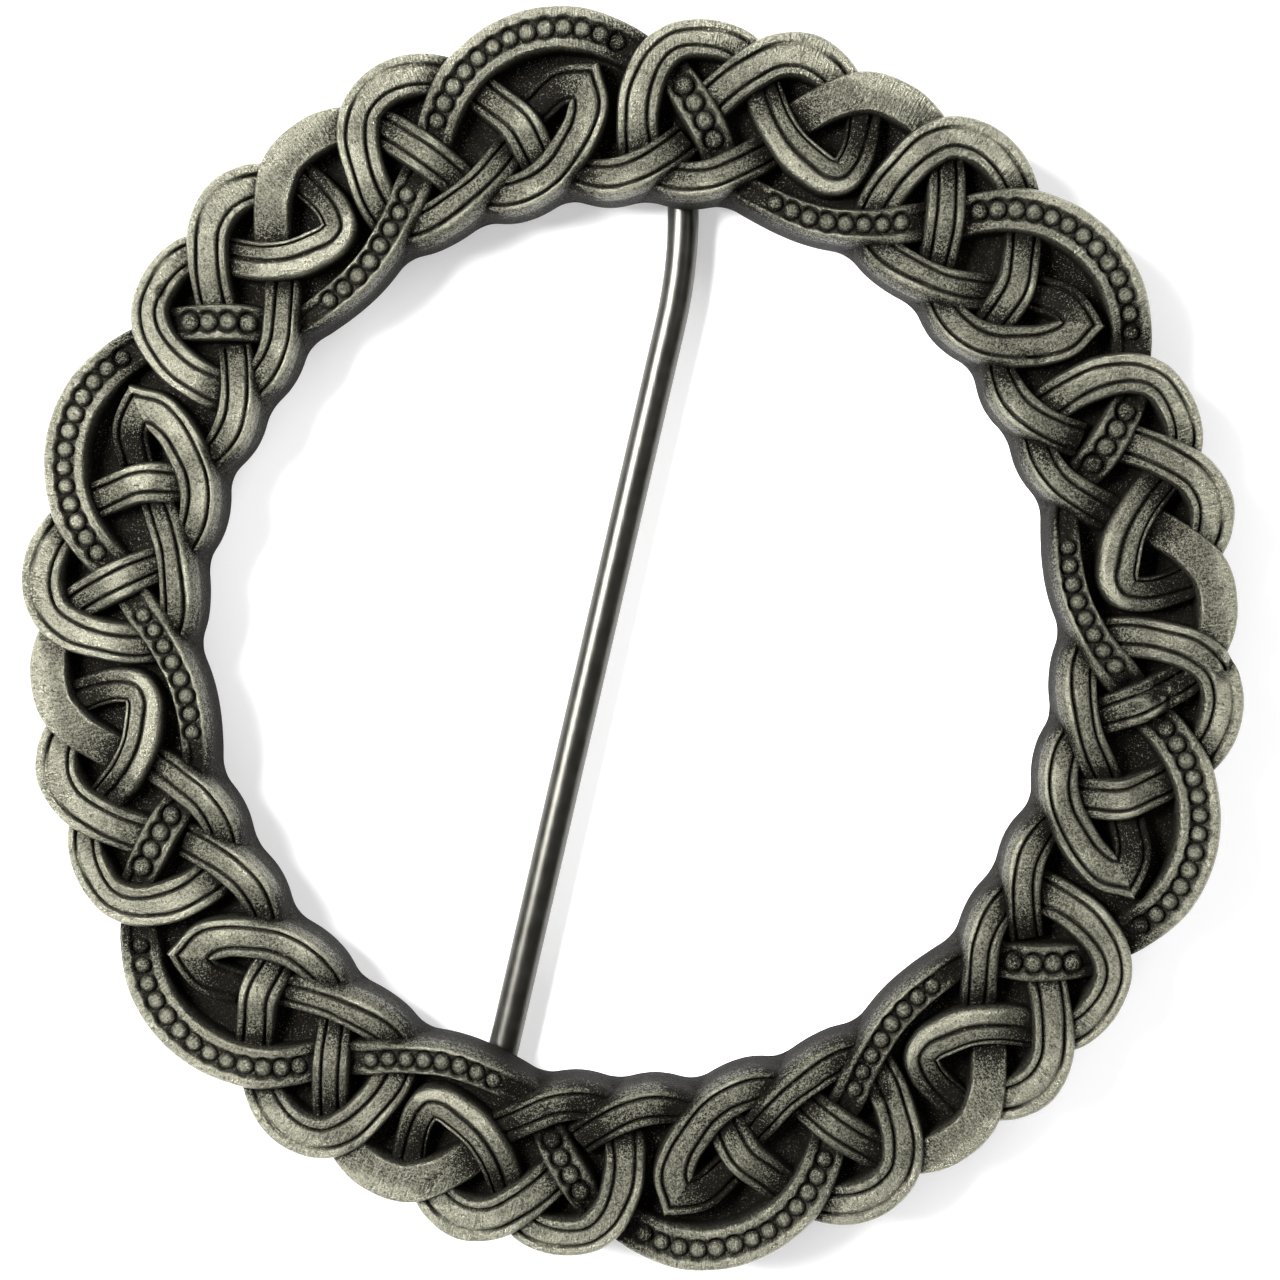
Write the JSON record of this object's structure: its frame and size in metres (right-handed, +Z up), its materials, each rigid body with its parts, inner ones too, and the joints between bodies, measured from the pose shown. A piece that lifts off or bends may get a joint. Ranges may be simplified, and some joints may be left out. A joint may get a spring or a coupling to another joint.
{
  "type": "plaid brooch",
  "caption": "Open round cast pewter brooch with interlaced knotwork in relief and a hinged steel pin across its open centre.",
  "frame": {"origin": "centre of the ring, on the surface that the brooch lies on", "axes": "+Z up out of the relief, +Y from the catch towards the hinge along the ring's longer diameter, +X to the right in the front view"},
  "size_m": [0.085, 0.088, 0.0075],
  "materials": {
    "pewter": "cast, blackened in the recesses and brushed bright on the raised bands",
    "steel": "polished wire"
  },
  "bodies": {
    "ring": {"knot_ring": "pewter", "hinge_rivet": "steel"},
    "pin": {"pin": "steel"}
  },
  "joints": [
    {"name": "pin_hinge", "type": "hinge", "parent": "ring", "child": "pin", "pos_m": [0.00365, 0.0365, 0.00185], "axis": [1, 0, 0], "range_deg": [0, 110]}
  ]
}
